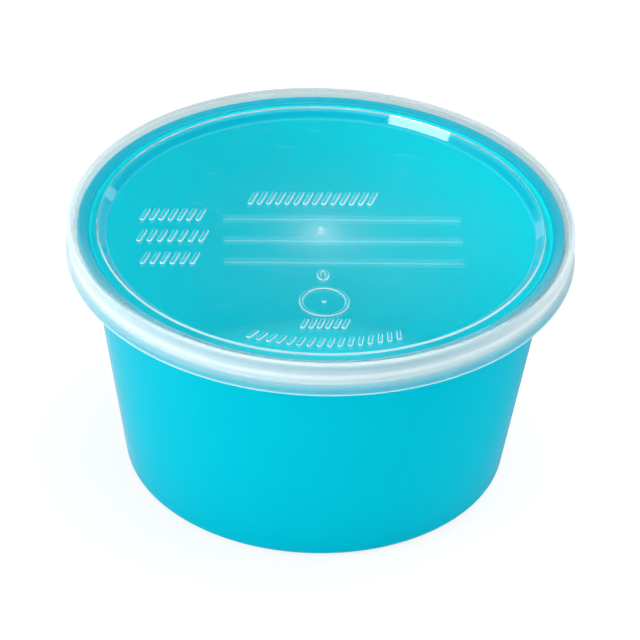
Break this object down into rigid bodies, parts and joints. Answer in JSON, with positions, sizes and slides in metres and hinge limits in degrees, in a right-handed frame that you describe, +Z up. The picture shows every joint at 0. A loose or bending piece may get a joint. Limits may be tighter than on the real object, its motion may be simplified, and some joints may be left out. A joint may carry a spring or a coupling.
{
  "type": "denture case",
  "caption": "Round denture case: an opaque tapered cup with a recessed foot, closed by a translucent snap lid with a ruled, recessed panel.",
  "frame": {"origin": "centre of the foot ring, on the plane that the case stands on", "axes": "+Z up, along the axis of the cup and the lid; +X along the ruled strips on the lid, and -Y towards the reader of the lid"},
  "size_m": [0.107, 0.107, 0.0577],
  "materials": {
    "cup_plastic": "smooth opaque moulded polypropylene, turquoise",
    "lid_plastic": "translucent natural low-density polyethylene"
  },
  "bodies": {
    "cup": {"cup": "cup_plastic"},
    "lid": {"lid": "lid_plastic"}
  },
  "joints": [
    {"name": "lid_lift", "type": "slide", "parent": "cup", "child": "lid", "axis": [0, 0, 1], "range_m": [0, 0.06]}
  ]
}
